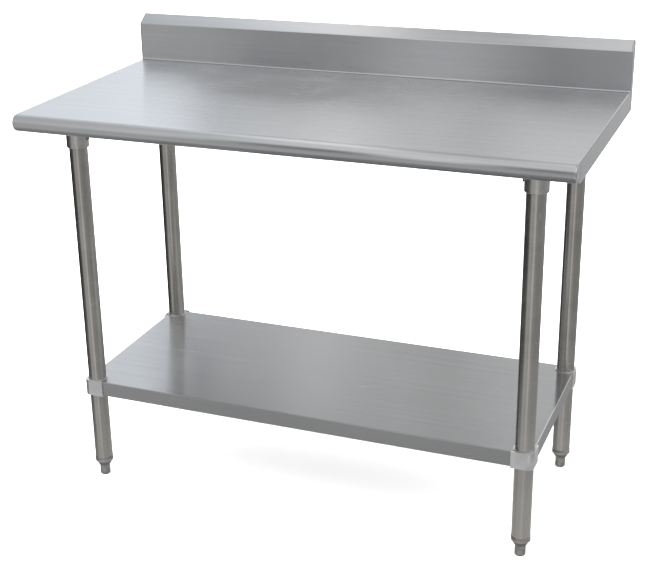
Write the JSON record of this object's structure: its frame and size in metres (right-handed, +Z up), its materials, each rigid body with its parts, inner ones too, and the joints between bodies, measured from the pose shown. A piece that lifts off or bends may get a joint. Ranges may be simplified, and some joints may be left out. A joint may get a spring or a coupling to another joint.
{
  "type": "work table",
  "caption": "Free-standing stainless kitchen work table with a rolled front edge, a low splashback, tube legs on adjustable feet and an undershelf that slides on the legs.",
  "frame": {"origin": "on the floor, under the middle of the overall length and depth", "axes": "+X along the length, -Y towards the rolled front edge, +Y towards the splashback, +Z up"},
  "size_m": [1.2192, 0.6223, 1.0254],
  "materials": {
    "worktop": "brushed along the length",
    "shelf": "brushed along the length",
    "tube": "polished tube, fine marks along it",
    "cast": "cast, lightly tumbled",
    "socket": "ground, satin",
    "zinc": "galvanised, small spangle",
    "screw": "zinc plated"
  },
  "bodies": {
    "table": {"worktop_sheet": "worktop", "roll_end_cap_left": "worktop", "roll_end_cap_right": "worktop", "splash_end_cap_left": "worktop", "splash_end_cap_right": "worktop", "cross_channel_left": "zinc", "cross_channel_right": "zinc", "long_channel": "zinc", "stud_nut_cross_left_1": "screw", "stud_nut_cross_left_2": "screw", "stud_nut_cross_left_3": "screw", "stud_nut_cross_left_4": "screw", "stud_nut_cross_right_1": "screw", "stud_nut_cross_right_2": "screw", "stud_nut_cross_right_3": "screw", "stud_nut_cross_right_4": "screw", "stud_nut_long_1": "screw", "stud_nut_long_2": "screw", "stud_nut_long_3": "screw", "stud_nut_long_4": "screw", "leg_socket_front_left": "socket", "socket_set_screw_front_left": "screw", "leg_tube_front_left": "tube", "foot_insert_front_left": "tube", "leg_socket_front_right": "socket", "socket_set_screw_front_right": "screw", "leg_tube_front_right": "tube", "foot_insert_front_right": "tube", "leg_socket_rear_left": "socket", "socket_set_screw_rear_left": "screw", "leg_tube_rear_left": "tube", "foot_insert_rear_left": "tube", "leg_socket_rear_right": "socket", "socket_set_screw_rear_right": "screw", "leg_tube_rear_right": "tube", "foot_insert_rear_right": "tube"},
    "undershelf": {"undershelf_pan": "shelf", "shelf_stiffener": "zinc", "corner_clamp_front_left": "cast", "clamp_set_screw_front_left": "screw", "corner_clamp_front_right": "cast", "clamp_set_screw_front_right": "screw", "corner_clamp_rear_left": "cast", "clamp_set_screw_rear_left": "screw", "corner_clamp_rear_right": "cast", "clamp_set_screw_rear_right": "screw"},
    "foot_stem_body_front_left": {"foot_stem_front_left": "screw"},
    "bullet_foot_body_front_left": {"bullet_foot_front_left": "tube"},
    "foot_stem_body_front_right": {"foot_stem_front_right": "screw"},
    "bullet_foot_body_front_right": {"bullet_foot_front_right": "tube"},
    "foot_stem_body_rear_left": {"foot_stem_rear_left": "screw"},
    "bullet_foot_body_rear_left": {"bullet_foot_rear_left": "tube"},
    "foot_stem_body_rear_right": {"foot_stem_rear_right": "screw"},
    "bullet_foot_body_rear_right": {"bullet_foot_rear_right": "tube"}
  },
  "joints": [
    {"name": "undershelf_height", "type": "slide", "parent": "table", "child": "undershelf", "axis": [0, 0, 1], "range_m": [-0.15, 0.5]},
    {"name": "foot_height_front_left", "type": "slide", "parent": "table", "child": "foot_stem_body_front_left", "axis": [0, 0, -1], "range_m": [-0.015, 0.025]},
    {"name": "foot_turn_front_left", "type": "hinge", "parent": "foot_stem_body_front_left", "child": "bullet_foot_body_front_left", "pos_m": [-0.51435, -0.2032, 0], "axis": [0, 0, -1], "range_deg": [-2340, 3900]},
    {"name": "foot_height_front_right", "type": "slide", "parent": "table", "child": "foot_stem_body_front_right", "axis": [0, 0, -1], "range_m": [-0.015, 0.025]},
    {"name": "foot_turn_front_right", "type": "hinge", "parent": "foot_stem_body_front_right", "child": "bullet_foot_body_front_right", "pos_m": [0.51435, -0.2032, 0], "axis": [0, 0, -1], "range_deg": [-2340, 3900]},
    {"name": "foot_height_rear_left", "type": "slide", "parent": "table", "child": "foot_stem_body_rear_left", "axis": [0, 0, -1], "range_m": [-0.015, 0.025]},
    {"name": "foot_turn_rear_left", "type": "hinge", "parent": "foot_stem_body_rear_left", "child": "bullet_foot_body_rear_left", "pos_m": [-0.51435, 0.20955, 0], "axis": [0, 0, -1], "range_deg": [-2340, 3900]},
    {"name": "foot_height_rear_right", "type": "slide", "parent": "table", "child": "foot_stem_body_rear_right", "axis": [0, 0, -1], "range_m": [-0.015, 0.025]},
    {"name": "foot_turn_rear_right", "type": "hinge", "parent": "foot_stem_body_rear_right", "child": "bullet_foot_body_rear_right", "pos_m": [0.51435, 0.20955, 0], "axis": [0, 0, -1], "range_deg": [-2340, 3900]}
  ],
  "couplings": [
    {"joint": "foot_turn_front_left", "follows": "foot_height_front_left", "rad_per_m": 2721.1},
    {"joint": "foot_turn_front_right", "follows": "foot_height_front_right", "rad_per_m": 2721.1},
    {"joint": "foot_turn_rear_left", "follows": "foot_height_rear_left", "rad_per_m": 2721.1},
    {"joint": "foot_turn_rear_right", "follows": "foot_height_rear_right", "rad_per_m": 2721.1}
  ]
}
